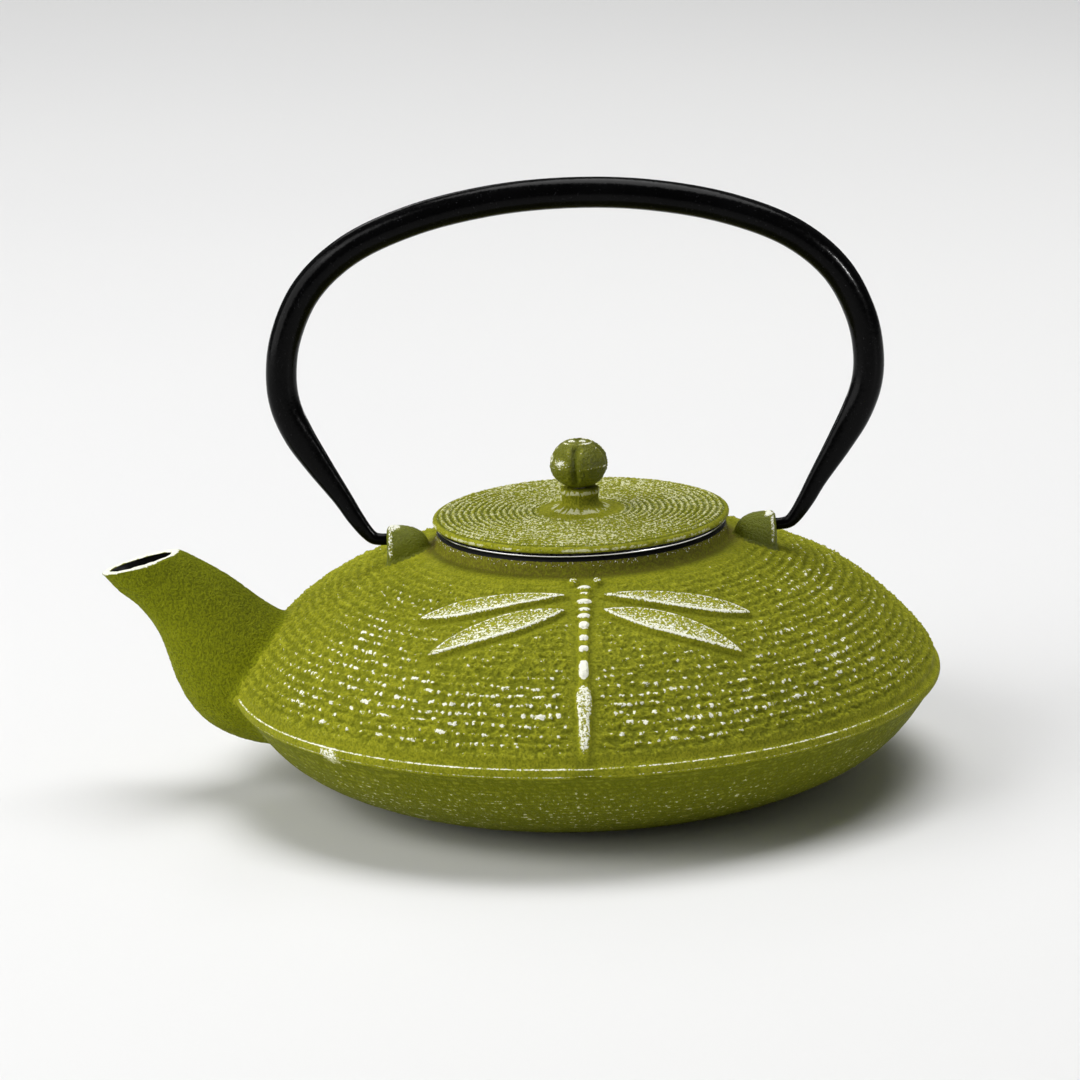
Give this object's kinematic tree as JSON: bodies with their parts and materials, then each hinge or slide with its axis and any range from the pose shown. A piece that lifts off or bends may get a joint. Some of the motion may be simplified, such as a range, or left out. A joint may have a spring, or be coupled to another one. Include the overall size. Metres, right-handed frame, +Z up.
{
  "type": "cast iron teapot",
  "caption": "Low wide cast iron teapot with a raised dragonfly, a folding bail handle, a lift-off lid with a ball knob and a steel infuser basket.",
  "frame": {"origin": "centre of the pot's flat base, on the axis of the bowl", "axes": "+Z up, front with the dragonfly towards -Y, spout towards -X"},
  "size_m": [0.2122, 0.18, 0.1545],
  "materials": {
    "green_iron": "matt green paint with dry-brushed high points, black enamel inside",
    "black_tube": "satin black powder coat",
    "green_lid": "matt green paint with dry-brushed high points, black enamel below",
    "green_knob": "matt green paint with dry-brushed high points",
    "plain_steel": "plain steel",
    "rim_steel": "polished stainless steel",
    "mesh_steel": "woven stainless steel mesh",
    "ring_steel": "polished stainless steel",
    "floor_steel": "woven stainless steel mesh"
  },
  "bodies": {
    "pot": {"pot_body": "green_iron"},
    "handle": {"handle": "black_tube"},
    "infuser": {"infuser_rim": "rim_steel", "infuser_mesh_wall": "mesh_steel", "infuser_bottom_ring": "ring_steel", "infuser_mesh_floor": "floor_steel"},
    "lid_rivet": {"knob_rivet": "plain_steel"},
    "lid": {"lid": "green_lid", "lid_knob": "green_knob"}
  },
  "joints": [
    {"name": "handle_fold", "type": "hinge", "parent": "pot", "child": "handle", "pos_m": [0, 0, 0.0635], "axis": [1, 0, 0], "range_deg": [-100, 100]},
    {"name": "infuser_lift", "type": "slide", "parent": "pot", "child": "infuser", "axis": [0, 0, 1], "range_m": [0, 0.045]},
    {"name": "lid_lift", "type": "slide", "parent": "infuser", "child": "lid_rivet", "axis": [0, 0, 1], "range_m": [0, 0.055]},
    {"name": "lid_turn", "type": "hinge", "parent": "lid_rivet", "child": "lid", "pos_m": [0, 0, 0.067], "axis": [0, 0, 1], "continuous": true}
  ]
}
